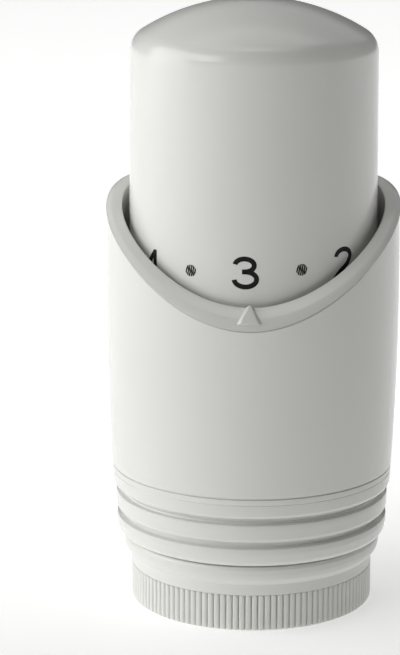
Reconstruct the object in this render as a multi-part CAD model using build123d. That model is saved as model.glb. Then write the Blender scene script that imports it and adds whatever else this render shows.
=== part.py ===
from build123d import *
import os
from math import atan2, cos, pi, sin

# Thermostatic radiator valve head, millimetres.
# Z is the axis, z = 0 is the bottom of the union nut, -Y is the pointer side.

# ---- interface to the valve ------------------------------------------------
THREAD_MINOR_R = 14.19        # M30 x 1.5 nut thread, minor radius
THREAD_MAJOR_R = 15.2         # mouth of the lead-in chamfer
THREAD_BOTTOM_Z = 1.0
THREAD_TOP_Z = 7.2
SEAT_Z = 7.3                  # end face of the spigot, sits on the valve body
RECESS_R = 10.5               # room for the valve neck
WEB_BOTTOM_Z = 19.0
CLOSING_DIMENSION = 11.95     # seat face to plunger face at rest

# ---- fits ------------------------------------------------------------------
RUN = 0.05                    # running fit, radial
SEATED = 0.05                 # fixed piece in its seat, radial
SLIDE = 0.04                  # sliding fit, radial
KEY = 0.1                     # side play of keys
AXIAL = 0.05                  # axial play of captured rings
LIP_PLAY = 0.08               # nut lip round the spigot, radial
NUT_GAP = 0.15                # nut to sleeve, the dark parting line

# ---- union nut -------------------------------------------------------------
NUT_KNURL_R = 18.7
NUT_COLLAR_R = 19.84
NUT_TOP_Z = 10.5
NUT_EDGE = 0.4                # chamfer at the bottom, rounding at the top
FLARE_FROM_Z = 7.15           # the wall opens to the collar above this
FLARE_TO_Z = 9.1
KNURL_COUNT = 120
KNURL_TOP_Z = 5.6
KNURL_CUT_R = 0.42
KNURL_OFFSET = 0.12
LIP_BOTTOM_Z = 8.8
RELIEF_R = 14.9
SNAP_RING_R = 14.2
SNAP_GROOVE_R = 12.2
SNAP_GROOVE_Z = (7.9, 8.7)

# ---- fixed sleeve ----------------------------------------------------------
SLEEVE_BOTTOM_Z = NUT_TOP_Z + NUT_GAP
SLEEVE_BORE_R = 20.1
SLEEVE_BORE_FROM_Z = 24.0
SLEEVE_BAND_R = 22.55
SLEEVE_SEAT_R = 17.3
SLEEVE_BLANK_Z = 72.0         # above the highest point of the rim
GROOVE_R = 20.0
RIM_ARC_Y = 15.2
RIM_ARC_Z = 14.5
RIM_ARC_R = 50.5
BAND_DEPTH = 0.55
BAND_LINE = 0.2
RIM_CHAMFER = 0.45
POINTER_HALF_WIDTH = 1.9
POINTER_FOOT = (-22.5, 48.2)  # y and z of the front corners
POINTER_TIP = (-20.28, 51.0)
POINTER_BACK = (-20.2, 50.5)
POINTER_ROOT = (-21.0, 47.6)

# ---- hand cap --------------------------------------------------------------
CAP_TOP_R = 18.85
CAP_APEX_Z = 93.8
DOME_R = 32.3
DOME_FILLET = 3.6
CAP_BOTTOM_Z = 25.0
CAP_BOTTOM_R = 19.2
CAP_WALL = 1.8
CAP_BORE_R = 17.2
CAP_SEAT_Z = 54.0
CAP_LEAD_IN = 0.6

# ---- base ------------------------------------------------------------------
SPIGOT_R = 13.2
FLANGE_R = 18.1
FLANGE_TOP_Z = 13.15
CORE_R = 13.5
WEB_TOP_Z = 21.5
COLLAR_R = 16.9
COLLAR_TOP_Z = 29.9
STEP_R = 15.05
STEP_TOP_Z = 31.0
TOWER_BORE_R = 11.8
TOWER_TOP_Z = 44.5
RIB_COUNT = 6
RIB_WIDTH = 1.6
BOSS_R = 9.0                  # round the guide bush
BOSS_TOP_Z = 26.0
WEB_HOLE_R = 5.6
KEY_WIDTH = 2.4
HOLDER_KEYS_AT = (0, 180)
HOLDER_KEY_R = 11.0
HOLDER_KEY_Z = 34.0
STOP_KEYS_AT = (0, 120, 240)
STOP_KEY_R = (15.4, 16.7)
STOP_KEY_Z = 29.0

# ---- set-point screw -------------------------------------------------------
SCREW_LEAD = 3.0
SCREW_ROOT_R = 13.9
SCREW_CREST_R = 15.0
NUT_MINOR_R = 14.2
NUT_MAJOR_R = 15.2
RIDGE_ROOT_HALF = 0.9
RIDGE_CREST_HALF = 0.5
SCREW_FROM_Z = 36.6
SCREW_TURNS = 2.3
CARRIER_SCREW_FROM_Z = 38.6
CARRIER_SCREW_TURNS = 2.5

# ---- turn stops ------------------------------------------------------------
BASE_LUG_DEG = 29.0
CARRIER_LUG_DEG = 23.0
BASE_LUG_AT = 90.0
CARRIER_LUG_AT = BASE_LUG_AT - 129.0
LUG_TOP_Z = 35.3
CARRIER_LUG_Z = 32.8

# ---- friction ring ---------------------------------------------------------
ORING_WIRE_R = 0.95
ORING_Z = 27.2
ORING_GROOVE_R = 15.2
ORING_GROOVE_HALF = 1.05

# ---- carrier and holder ----------------------------------------------------
CARRIER_BOTTOM_Z = 37.4
CARRIER_R = CAP_BORE_R - SEATED
CARRIER_FLANGE_Z = 47.6
CARRIER_FLANGE_TOP_Z = 49.4
CARRIER_KEYS_AT = (30, 150, 270)
CARRIER_KEY_R = 16.1
CARRIER_KEY_Z = 51.0
CARRIER_KEY_WIDTH = 2.0
SKIRT_R = 11.7
SKIRT_BOTTOM_Z = 38.4
HOLDER_BORE_R = 10.1
HOLDER_FLANGE_R = 14.05
HOLDER_FLANGE_T = 1.5
WASHER_T = 0.5
CIRCLIP_T = 1.0
CIRCLIP_Z = 51.5
CIRCLIP_R = 14.95
CIRCLIP_INNER_R = 13.2
HOLDER_STEP_Z = 52.0
CAGE_R = 12.9
CAGE_BORE_R = 11.8
CAGE_TOP_Z = 83.0
WINDOW_COUNT = 6
WINDOW_DEG = 46.0
WINDOW_Z = (55.5, 76.5)
BAYONETS_AT = (90, 210, 330)
BAYONET_DEG = 26.0

# ---- sensor ----------------------------------------------------------------
CAN_R = 11.6
CAN_NECK_R = HOLDER_BORE_R - SLIDE
CAN_WALL = 0.5
CAN_MOUTH_R = 8.6
CAN_BOTTOM_Z = 39.6
CAN_TOP_Z = 66.0
PLATE_Z = 40.0
PLATE_T = 1.2
BELLOWS_TOP_Z = 58.0
BELLOWS_R = 7.5
BELLOWS_ROOT_R = 4.8
BELLOWS_WALL = 0.2
BELLOWS_FOLDS = 7
ROD_R = 2.5
ROD_BOTTOM_Z = 27.5
STUB_R = 1.0

# ---- overload spring -------------------------------------------------------
SPRING_R = 8.4
SPRING_WIRE_R = 0.8
SPRING_SEAT_T = 0.8
COVER_Z = 80.0
COVER_T = 2.0
COVER_HOLE_R = 3.0
SPRING_TURNS = 4.75

# ---- plunger ---------------------------------------------------------------
PLUNGER_R = 4.0
PLUNGER_TOP_Z = 31.5
BUSH_R = 6.5
BUSH_TOP_Z = 29.0
BUSH_FLANGE_R = 8.2
BUSH_FLANGE_T = 1.2


def turned(points):
    """Solid of revolution about Z from (radius, z) points."""
    profile = make_face(Polyline(*[(r, 0, z) for r, z in points], close=True))
    return revolve(profile, Axis.Z, 360)


def tube(outer, inner, bottom, top):
    """Plain ring between two radii and two heights."""
    return turned([(inner, bottom), (outer, bottom), (outer, top), (inner, top)])


def disc(radius, bottom, top):
    """Plain solid disc on the axis."""
    height = top - bottom
    return Pos(0, 0, (bottom + top) / 2) * Cylinder(radius, height)


def sector(inner, outer, bottom, top, centre_deg, width_deg):
    """Part of a ring, used for lugs and windows."""
    start = centre_deg - width_deg / 2
    corners = [(inner, 0, bottom), (outer, 0, bottom), (outer, 0, top), (inner, 0, top)]
    face = make_face(Polyline(*corners, close=True))
    return Rot(0, 0, start) * revolve(face, Axis.Z, width_deg)


def key(inner, outer, width, bottom, top, angle):
    """Radial block at an angle, used for keys, ribs and keyways."""
    block = Box(outer - inner, width, top - bottom)
    return Rot(0, 0, angle) * Pos((inner + outer) / 2, 0, (bottom + top) / 2) * block


def rim_cylinder(radius):
    """Cylinder along X whose surface is the curved rim."""
    return Pos(0, RIM_ARC_Y, RIM_ARC_Z) * Rot(0, 90, 0) * Cylinder(radius, 80)


def screw_ridge(root_r, crest_r, from_z, turns):
    """One trapezoid thread ridge, rooted a little inside the wall it grows from."""
    embed = -0.3 if crest_r > root_r else 0.3
    path = Helix(pitch=SCREW_LEAD, height=SCREW_LEAD * turns, radius=root_r)
    plane = Plane(origin=path @ 0, x_dir=(1, 0, 0), z_dir=path % 0)
    reach = crest_r - root_r
    grow = RIDGE_ROOT_HALF + (RIDGE_ROOT_HALF - RIDGE_CREST_HALF) * 0.3 / abs(reach)
    corners = [(embed, -grow), (reach, -RIDGE_CREST_HALF), (reach, RIDGE_CREST_HALF), (embed, grow)]
    section = Polyline(*corners, close=True)
    ridge = sweep(plane * make_face(section), path=path, is_frenet=True)
    return Pos(0, 0, from_z) * ridge


def offset_path(points, distance):
    """Points of a polyline moved sideways by a mitred distance."""
    moved = []
    for i, (x, y) in enumerate(points):
        before = points[max(i - 1, 0)]
        after = points[min(i + 1, len(points) - 1)]
        normals = []
        for a, b in ((before, (x, y)), ((x, y), after)):
            dx, dy = b[0] - a[0], b[1] - a[1]
            length = (dx * dx + dy * dy) ** 0.5
            if length > 0:
                normals.append((-dy / length, dx / length))
        nx = sum(n[0] for n in normals)
        ny = sum(n[1] for n in normals)
        scale = distance * len(normals) / (nx * nx + ny * ny)
        moved.append((x + nx * scale, y + ny * scale))
    return moved


def flare(from_r, to_r, from_z, to_z, steps):
    """Quarter of an ellipse that opens a wall outward, as (radius, z) points."""
    points = []
    for i in range(steps + 1):
        turn = pi / 2 * i / steps
        points.append((from_r + (to_r - from_r) * sin(turn), to_z - (to_z - from_z) * cos(turn)))
    return points


def union_nut():
    """Knurled nut with a rounded collar, an inner thread wall and the bearing lip."""
    lip_r = SPIGOT_R + LIP_PLAY
    collar = flare(NUT_KNURL_R, NUT_COLLAR_R, FLARE_FROM_Z, FLARE_TO_Z, 5)
    body = turned([(THREAD_MAJOR_R, 0), (NUT_KNURL_R - NUT_EDGE, 0), (NUT_KNURL_R, NUT_EDGE)] + collar + [
        (NUT_COLLAR_R, NUT_TOP_Z - NUT_EDGE), (NUT_COLLAR_R - NUT_EDGE / 4, NUT_TOP_Z - NUT_EDGE / 2),
        (NUT_COLLAR_R - NUT_EDGE, NUT_TOP_Z), (lip_r, NUT_TOP_Z), (lip_r, LIP_BOTTOM_Z),
        (RELIEF_R, LIP_BOTTOM_Z), (RELIEF_R, THREAD_TOP_Z + 0.35), (THREAD_MINOR_R, THREAD_TOP_Z),
        (THREAD_MINOR_R, THREAD_BOTTOM_Z)])
    height = KNURL_TOP_Z + 1
    flute = Pos(0, 0, height / 2 - 1) * Cylinder(KNURL_CUT_R, height)
    return body - PolarLocations(NUT_KNURL_R + KNURL_OFFSET, KNURL_COUNT) * flute


def nut_snap_ring():
    """Open ring in the spigot groove, the nut lip pulls down on it."""
    bottom, top = SNAP_GROOVE_Z
    ring = tube(SNAP_RING_R, SNAP_GROOVE_R + SEATED, bottom + 0.02, top - 0.02)
    return ring - key(11, 16, 4, 7, 9, 90)


def base_body():
    """Spigot, flange, ribbed core, web, collar and threaded tower in one moulding."""
    snap_bottom, snap_top = SNAP_GROOVE_Z
    flange_bottom = SLEEVE_BOTTOM_Z + 0.1
    bush_bore = BUSH_R + SEATED
    bush_seat = WEB_BOTTOM_Z + 1.0
    spigot = [(RECESS_R, SEAT_Z), (SPIGOT_R - 0.3, SEAT_Z), (SPIGOT_R, SEAT_Z + 0.3),
              (SPIGOT_R, snap_bottom), (SNAP_GROOVE_R, snap_bottom), (SNAP_GROOVE_R, snap_top),
              (SPIGOT_R, snap_top), (SPIGOT_R, flange_bottom)]
    flange = [(FLANGE_R, flange_bottom), (FLANGE_R, FLANGE_TOP_Z), (CORE_R, FLANGE_TOP_Z),
              (CORE_R, WEB_BOTTOM_Z)]
    collar = [(COLLAR_R, WEB_BOTTOM_Z), (COLLAR_R, ORING_Z - ORING_GROOVE_HALF),
              (ORING_GROOVE_R, ORING_Z - ORING_GROOVE_HALF), (ORING_GROOVE_R, ORING_Z + ORING_GROOVE_HALF),
              (COLLAR_R, ORING_Z + ORING_GROOVE_HALF), (COLLAR_R, COLLAR_TOP_Z), (STEP_R, COLLAR_TOP_Z)]
    tower = [(STEP_R, STEP_TOP_Z), (SCREW_ROOT_R, STEP_TOP_Z), (SCREW_ROOT_R, TOWER_TOP_Z),
             (TOWER_BORE_R, TOWER_TOP_Z), (TOWER_BORE_R, WEB_TOP_Z)]
    web = [(BOSS_R, WEB_TOP_Z), (BOSS_R, BOSS_TOP_Z), (bush_bore, BOSS_TOP_Z), (bush_bore, bush_seat),
           (WEB_HOLE_R, bush_seat), (WEB_HOLE_R, WEB_BOTTOM_Z), (RECESS_R, WEB_BOTTOM_Z)]
    shell = turned(spigot + flange + collar + tower + web)
    body = shell + screw_ridge(SCREW_ROOT_R, SCREW_CREST_R, SCREW_FROM_Z, SCREW_TURNS)
    rib_z = (FLANGE_TOP_Z - 0.2, WEB_BOTTOM_Z + 0.2)
    for i in range(RIB_COUNT):
        body += key(CORE_R - 0.5, COLLAR_R, RIB_WIDTH, *rib_z, i * 360 / RIB_COUNT)
    for angle in HOLDER_KEYS_AT:
        body += key(HOLDER_KEY_R, TOWER_BORE_R + 0.5, KEY_WIDTH, HOLDER_KEY_Z, TOWER_TOP_Z, angle)
    notch_r = (STOP_KEY_R[0] - KEY, STOP_KEY_R[1] + 1)
    for angle in STOP_KEYS_AT:
        body -= key(*notch_r, KEY_WIDTH + 2 * KEY, STOP_KEY_Z, COLLAR_TOP_Z + 1, angle)
    return body


def stop_ring():
    """Ring keyed on the collar with the lug that ends the turn."""
    ring = tube(COLLAR_R, STEP_R + SEATED, COLLAR_TOP_Z, STEP_TOP_Z)
    ring += sector(STEP_R + SEATED, COLLAR_R, STEP_TOP_Z - 0.2, LUG_TOP_Z, BASE_LUG_AT, BASE_LUG_DEG)
    for angle in STOP_KEYS_AT:
        ring += key(*STOP_KEY_R, KEY_WIDTH, STOP_KEY_Z + KEY, COLLAR_TOP_Z + 0.2, angle)
    return ring


def friction_ring():
    """O-ring in the collar groove, rubs lightly in the cap bore."""
    centre = CAP_BORE_R - RUN - ORING_WIRE_R
    return Pos(0, 0, ORING_Z) * Torus(centre, ORING_WIRE_R)


def guide_bush():
    """Bush pressed into the web from above, guides the plunger."""
    bore = PLUNGER_R + SLIDE
    bottom = WEB_BOTTOM_Z + 1.0
    flange_top = BOSS_TOP_Z + BUSH_FLANGE_T
    return turned([(bore, bottom), (BUSH_R, bottom), (BUSH_R, BOSS_TOP_Z), (BUSH_FLANGE_R, BOSS_TOP_Z),
                   (BUSH_FLANGE_R, flange_top), (5.8, flange_top), (5.4, BUSH_TOP_Z), (bore, BUSH_TOP_Z)])


def neck_ring(bottom_z, top_z, bottom_r, top_r):
    """Profile of one raised ring of the neck, with its edges broken."""
    return [(bottom_r - 0.25, bottom_z), (bottom_r - 0.05, bottom_z + 0.15), (bottom_r, bottom_z + 0.5),
            (top_r, top_z - 0.7), (top_r - 0.04, top_z - 0.25), (top_r - 0.25, top_z)]


def sleeve_outline(inset):
    """Outer profile of the sleeve, drawn in by a small inset above the neck."""
    foot = [(NUT_COLLAR_R, SLEEVE_BOTTOM_Z), (20.4, 10.9), (20.73, 11.5), (20.97, 12.7), (20.95, 13.45),
            (20.75, 13.7)]
    low_groove = [(GROOVE_R, 13.7), (GROOVE_R, 14.65)]
    high_groove = [(GROOVE_R + 0.3, 17.35), (GROOVE_R + 0.3, 17.7), (GROOVE_R + 0.1, 17.7),
                   (GROOVE_R + 0.1, 18.45)]
    notch = [(21.42, 21.46), (21.42, 21.64)]
    barrel = [(21.68, 21.8), (21.78, 22.8), (21.95, 25.3), (22.11, 28.3), (22.25, 33.1), (22.35, 38.0),
              (22.4, 43.0), (22.4, SLEEVE_BLANK_Z)]
    rings = foot + low_groove + neck_ring(14.65, 17.35, 21.02, 21.1) + high_groove
    return rings + neck_ring(18.45, 21.46, 21.5, 21.6) + notch + [(r - inset, z) for r, z in barrel]


def sleeve_blank(outline):
    """Sleeve turned about the axis, before the rim is cut."""
    flange_bore = FLANGE_R + SEATED
    flange_seat = FLANGE_TOP_Z + SEATED
    inner = [(SLEEVE_BORE_R, SLEEVE_BLANK_Z), (SLEEVE_BORE_R, SLEEVE_BORE_FROM_Z),
             (SLEEVE_SEAT_R, WEB_BOTTOM_Z), (SLEEVE_SEAT_R, flange_seat), (flange_bore, flange_seat),
             (flange_bore, SLEEVE_BOTTOM_Z)]
    return turned(outline + inner)


def pointer():
    """Raised wedge on the front of the rim: a flat front facet rises to a tip over the bore."""
    half = POINTER_HALF_WIDTH
    tip = (0, *POINTER_TIP)
    left = (-half, *POINTER_FOOT)
    right = (half, *POINTER_FOOT)
    back_left = (-half / 2, *POINTER_BACK)
    back_right = (half / 2, *POINTER_BACK)
    root = (0, *POINTER_ROOT)
    faces = [(tip, left, right), (tip, back_left, left), (tip, right, back_right),
             (tip, back_right, back_left), (back_left, root, left), (back_right, right, root),
             (left, root, right), (back_left, back_right, root)]
    sides = [make_face(Polyline(*face, close=True)) for face in faces]
    return Solid(Shell([side.faces()[0] for side in sides]))


def outer_sleeve():
    """Fixed shell: ringed neck, barrel wall, curved rim band and pointer."""
    body = sleeve_blank(sleeve_outline(0)) & rim_cylinder(RIM_ARC_R - BAND_DEPTH - BAND_LINE)
    line = sleeve_blank(sleeve_outline(0.25)) & rim_cylinder(RIM_ARC_R - BAND_DEPTH + 0.05)
    ring = tube(SLEEVE_BAND_R, SLEEVE_BORE_R, 40.0, SLEEVE_BLANK_Z)
    band = (ring & rim_cylinder(RIM_ARC_R)) - rim_cylinder(RIM_ARC_R - BAND_DEPTH)
    edges = [e for e in band.edges() if e.length > 60]
    top = sorted(edges, key=lambda e: e.center().Z + e.length)
    band = chamfer(top[-1], RIM_CHAMFER)
    return body + line + band + pointer()


def domed(radius, dome_r, fillet_r, bottom_r, bottom_z, centre_z):
    """Solid with a spherical top, a rounded shoulder and a slightly drafted side."""
    top = centre_z + dome_r
    corner_r = radius - fillet_r
    corner_z = centre_z + ((dome_r - fillet_r) ** 2 - corner_r ** 2) ** 0.5
    lean = atan2(corner_r, corner_z - centre_z)
    meet = (dome_r * sin(lean), 0, centre_z + dome_r * cos(lean))
    mid = (dome_r * sin(lean / 2), 0, centre_z + dome_r * cos(lean / 2))
    half = (lean + pi / 2) / 2
    shoulder_mid = (corner_r + fillet_r * sin(half), 0, corner_z + fillet_r * cos(half))
    side = (radius, 0, corner_z)
    dome = ThreePointArc((0, 0, top), mid, meet)
    shoulder = ThreePointArc(meet, shoulder_mid, side)
    rest = Polyline(side, (bottom_r, 0, bottom_z), (0, 0, bottom_z), (0, 0, top))
    return revolve(make_face(dome + shoulder + rest), Axis.Z, 360)


def hand_cap():
    """Domed cap with a slight draft, bored from below for the carrier."""
    centre_z = CAP_APEX_Z - DOME_R
    solid = domed(CAP_TOP_R, DOME_R, DOME_FILLET, CAP_BOTTOM_R, CAP_BOTTOM_Z, centre_z)
    inner_r = CAP_TOP_R - CAP_WALL
    hollow = domed(inner_r, DOME_R - CAP_WALL, DOME_FILLET - CAP_WALL, inner_r, CAP_SEAT_Z - 1, centre_z)
    mouth_r = CAP_BORE_R + CAP_LEAD_IN
    bore = turned([(0, CAP_BOTTOM_Z - 1), (mouth_r, CAP_BOTTOM_Z - 1), (mouth_r, CAP_BOTTOM_Z),
                   (CAP_BORE_R, CAP_BOTTOM_Z + CAP_LEAD_IN), (CAP_BORE_R, CAP_SEAT_Z), (0, CAP_SEAT_Z)])
    cap = solid - bore - hollow
    for angle in CARRIER_KEYS_AT:
        cap += key(CARRIER_KEY_R, CAP_BORE_R + 0.2, CARRIER_KEY_WIDTH, CARRIER_KEY_Z, CAP_SEAT_Z + 0.2, angle)
    return cap


def threaded_carrier():
    """Internally threaded sleeve inside the cap, with the turning stop lug."""
    groove_bottom = CIRCLIP_Z - 0.02
    groove_top = CIRCLIP_Z + CIRCLIP_T + 0.02
    groove_r = CIRCLIP_R + SEATED
    hole_r = SKIRT_R + 0.08
    shell = turned([
        (NUT_MAJOR_R, CARRIER_BOTTOM_Z), (CARRIER_R, CARRIER_BOTTOM_Z), (CARRIER_R, CAP_SEAT_Z),
        (NUT_MINOR_R, CAP_SEAT_Z), (NUT_MINOR_R, groove_top), (groove_r, groove_top), (groove_r, groove_bottom),
        (NUT_MINOR_R, groove_bottom), (NUT_MINOR_R, CARRIER_FLANGE_TOP_Z), (hole_r, CARRIER_FLANGE_TOP_Z),
        (hole_r, CARRIER_FLANGE_Z), (NUT_MAJOR_R, CARRIER_FLANGE_Z)])
    lug_r = (NUT_MAJOR_R + 0.1, CARRIER_R - 0.2)
    body = shell + sector(*lug_r, CARRIER_LUG_Z, CARRIER_BOTTOM_Z + 0.4, CARRIER_LUG_AT, CARRIER_LUG_DEG)
    for angle in CARRIER_KEYS_AT:
        body -= key(CARRIER_KEY_R - 0.2, CAP_BORE_R + 0.4, CARRIER_KEY_WIDTH + 2 * KEY, CARRIER_KEY_Z - KEY,
                    CAP_SEAT_Z + 1, angle)
    half_pitch_off = CARRIER_SCREW_FROM_Z - SCREW_FROM_Z - SCREW_LEAD / 2
    phase = 360 * half_pitch_off / SCREW_LEAD
    ridge = screw_ridge(NUT_MAJOR_R, NUT_MINOR_R, CARRIER_SCREW_FROM_Z, CARRIER_SCREW_TURNS)
    return body + Rot(0, 0, phase) * ridge


def slip_washer():
    """Thin washer on the carrier flange."""
    return tube(NUT_MINOR_R - 0.1, SKIRT_R + 0.1, CARRIER_FLANGE_TOP_Z, CARRIER_FLANGE_TOP_Z + WASHER_T)


def holder_circlip():
    """Open internal circlip above the holder flange."""
    ring = tube(CIRCLIP_R, CIRCLIP_INNER_R, CIRCLIP_Z, CIRCLIP_Z + CIRCLIP_T)
    return ring - key(12, 16, 6, 50, 54, 90)


def sensor_holder():
    """Keyed skirt, captured flange and open cage around the sensor."""
    flange = CARRIER_FLANGE_TOP_Z + WASHER_T + AXIAL
    shell = turned([
        (HOLDER_BORE_R, SKIRT_BOTTOM_Z), (SKIRT_R, SKIRT_BOTTOM_Z), (SKIRT_R, flange), (HOLDER_FLANGE_R, flange),
        (HOLDER_FLANGE_R, flange + HOLDER_FLANGE_T), (CAGE_R, flange + HOLDER_FLANGE_T), (CAGE_R, CAGE_TOP_Z),
        (CAGE_BORE_R, CAGE_TOP_Z), (CAGE_BORE_R, HOLDER_STEP_Z), (HOLDER_BORE_R, HOLDER_STEP_Z)])
    for angle in HOLDER_KEYS_AT:
        shell -= key(HOLDER_KEY_R - 0.15, 12.0, KEY_WIDTH + 2 * KEY, SKIRT_BOTTOM_Z - 1, flange - 0.6, angle)
    for i in range(WINDOW_COUNT):
        shell -= sector(CAGE_BORE_R - 1, CAGE_R + 1, *WINDOW_Z, i * 360 / WINDOW_COUNT + 30, WINDOW_DEG)
    for angle in BAYONETS_AT:
        shell -= sector(CAGE_BORE_R - 0.5, CAGE_R + 1, COVER_Z, COVER_Z + 1.6, angle, BAYONET_DEG)
    return shell


def spring_cover():
    """Cover held in the cage by three bayonet tabs."""
    disc_part = tube(CAGE_BORE_R - SEATED, COVER_HOLE_R, COVER_Z, COVER_Z + COVER_T)
    disc_part += tube(SPRING_R - SPRING_WIRE_R - 0.7, COVER_HOLE_R, COVER_Z - 1.5, COVER_Z + 0.2)
    for angle in BAYONETS_AT:
        tab = sector(CAGE_BORE_R - 0.6, CAGE_R - 0.1, COVER_Z, COVER_Z + 1.55, angle, BAYONET_DEG - 0.4)
        disc_part += tab
    return disc_part


def overload_spring():
    """Coil spring between the sensor and the cover."""
    bottom = CAN_TOP_Z + SPRING_SEAT_T + SPRING_WIRE_R
    height = COVER_Z - SPRING_WIRE_R - bottom
    path = Helix(pitch=height / SPRING_TURNS, height=height, radius=SPRING_R)
    plane = Plane(origin=path @ 0, z_dir=path % 0)
    wire = sweep(plane * Circle(SPRING_WIRE_R), path=path, is_frenet=True)
    return Pos(0, 0, bottom) * wire


def spring_washer():
    """Dished seat between the can and the spring."""
    top = CAN_TOP_Z + SPRING_SEAT_T
    return turned([(2.2, CAN_TOP_Z), (10.4, CAN_TOP_Z), (10.4, top), (7.2, top), (6.8, top + 1.2),
                   (6.0, top + 1.2), (6.0, top), (2.2, top)])


def sensor_can():
    """Drawn can: neck in the holder bore, shoulder on the holder step, closed top."""
    neck = CAN_NECK_R
    wall = CAN_WALL
    step = HOLDER_STEP_Z
    return turned([
        (CAN_MOUTH_R, CAN_BOTTOM_Z), (neck, CAN_BOTTOM_Z), (neck, step), (CAN_R, step), (CAN_R, CAN_TOP_Z - 1),
        (CAN_R - 0.3, CAN_TOP_Z - 0.3), (CAN_R - 1, CAN_TOP_Z), (STUB_R, CAN_TOP_Z), (STUB_R, CAN_TOP_Z - wall),
        (CAN_R - 1.2, CAN_TOP_Z - wall), (CAN_R - wall, CAN_TOP_Z - 1.2), (CAN_R - wall, step + wall),
        (neck - wall, step + wall), (neck - wall, PLATE_Z), (CAN_MOUTH_R, PLATE_Z)])


def filling_stub():
    """Filling tube, pinched shut and soldered."""
    stub = disc(STUB_R, CAN_TOP_Z - CAN_WALL, CAN_TOP_Z + 2.4)
    return stub + Pos(0, 0, CAN_TOP_Z + 3.2) * Box(2.6, 0.8, 2.0)


def sensor_end_plate():
    """Plate that closes the can and carries the fixed end of the bellows."""
    top = PLATE_Z + PLATE_T
    outer = CAN_NECK_R - CAN_WALL
    return turned([(3.2, PLATE_Z), (outer, PLATE_Z), (outer, top), (5.9, top), (5.9, top + 0.4), (5.1, top + 0.4),
                   (5.1, top), (3.2, top)])


def sensor_bellows():
    """Corrugated metal bellows, fixed at the plate, moving at the crown."""
    bottom = PLATE_Z + PLATE_T + BELLOWS_WALL / 2
    top = BELLOWS_TOP_Z - BELLOWS_WALL / 2
    pitch = (top - bottom) / BELLOWS_FOLDS
    outer = BELLOWS_R - BELLOWS_WALL / 2
    inner = BELLOWS_ROOT_R + BELLOWS_WALL / 2
    path = [(6.1, bottom), (outer, bottom)]
    for i in range(BELLOWS_FOLDS):
        base = bottom + i * pitch
        path += [(outer, base + pitch * 0.45)]
        if i < BELLOWS_FOLDS - 1:
            path += [(inner, base + pitch * 0.55), (inner, base + pitch * 0.9), (outer, base + pitch)]
    path += [(outer, top), (inner, top)]
    left = offset_path(path, BELLOWS_WALL / 2)
    right = offset_path(path, -BELLOWS_WALL / 2)
    return turned(left + right[::-1])


def bellows_crown():
    """Disc that closes the moving end of the bellows, with a socket for the rod."""
    return turned([(0, BELLOWS_TOP_Z), (ROD_R + SLIDE, BELLOWS_TOP_Z), (ROD_R + SLIDE, BELLOWS_TOP_Z - 1.6),
                   (4.2, BELLOWS_TOP_Z - 1.6), (4.2, BELLOWS_TOP_Z), (BELLOWS_R - 0.3, BELLOWS_TOP_Z),
                   (BELLOWS_R - 0.3, BELLOWS_TOP_Z + 0.8), (5.0, BELLOWS_TOP_Z + 1.4), (0, BELLOWS_TOP_Z + 1.4)])


def push_rod():
    """Rod from the bellows crown down to the plunger."""
    return disc(ROD_R, ROD_BOTTOM_Z, BELLOWS_TOP_Z)


def plunger():
    """Foot that presses on the valve pin."""
    face = SEAT_Z + CLOSING_DIMENSION
    socket_r = ROD_R + SLIDE
    return turned([(0, face), (PLUNGER_R - 0.4, face), (PLUNGER_R, face + 0.4),
                   (PLUNGER_R, PLUNGER_TOP_Z - 0.5), (PLUNGER_R - 0.5, PLUNGER_TOP_Z),
                   (socket_r, PLUNGER_TOP_Z), (socket_r, ROD_BOTTOM_Z), (0, ROD_BOTTOM_Z)])


PIECES = {
    "union_nut": union_nut,
    "nut_snap_ring": nut_snap_ring,
    "base_body": base_body,
    "stop_ring": stop_ring,
    "friction_ring": friction_ring,
    "guide_bush": guide_bush,
    "outer_sleeve": outer_sleeve,
    "hand_cap": hand_cap,
    "threaded_carrier": threaded_carrier,
    "slip_washer": slip_washer,
    "holder_circlip": holder_circlip,
    "sensor_holder": sensor_holder,
    "spring_cover": spring_cover,
    "overload_spring": overload_spring,
    "spring_washer": spring_washer,
    "sensor_can": sensor_can,
    "filling_stub": filling_stub,
    "sensor_end_plate": sensor_end_plate,
    "sensor_bellows": sensor_bellows,
    "bellows_crown": bellows_crown,
    "push_rod": push_rod,
    "plunger": plunger,
}

os.makedirs("parts", exist_ok=True)
for name, make in PIECES.items():
    shape = make()
    print(name, len(shape.solids()), round(shape.volume, 1), shape.is_valid)
    export_step(shape, "parts/" + name + ".step")
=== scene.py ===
"""Thermostatic radiator valve head, dressed for the studio.

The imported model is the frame. The three outer mouldings (hand cap, sleeve, union nut) are
rebuilt here as smooth closed shells, the scale is printed on the cap, and every inner piece
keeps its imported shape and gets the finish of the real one. Sizes are millimetres until a
mesh is written, and metres after that. -Y is the pointer side, +Z is up.
"""
import logging
import math
from dataclasses import dataclass, field
from enum import Enum
from typing import NamedTuple

import bmesh
import bpy
from mathutils import Matrix, Vector


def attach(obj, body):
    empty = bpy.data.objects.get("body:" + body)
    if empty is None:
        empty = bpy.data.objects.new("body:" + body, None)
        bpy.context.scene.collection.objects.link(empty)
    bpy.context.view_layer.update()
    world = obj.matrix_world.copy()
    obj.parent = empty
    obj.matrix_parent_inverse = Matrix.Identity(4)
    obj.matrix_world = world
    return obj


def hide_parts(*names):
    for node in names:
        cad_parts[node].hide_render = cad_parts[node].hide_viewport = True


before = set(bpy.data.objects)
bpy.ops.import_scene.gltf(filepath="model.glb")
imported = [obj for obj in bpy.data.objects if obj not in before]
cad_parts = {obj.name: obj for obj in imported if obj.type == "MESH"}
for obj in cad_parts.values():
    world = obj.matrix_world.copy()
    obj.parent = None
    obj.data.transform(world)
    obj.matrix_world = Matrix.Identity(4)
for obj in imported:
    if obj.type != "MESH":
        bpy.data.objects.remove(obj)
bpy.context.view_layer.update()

MM = 0.001
TINY = 1e-6                       # shorter than this counts as nothing, in millimetres
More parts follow.
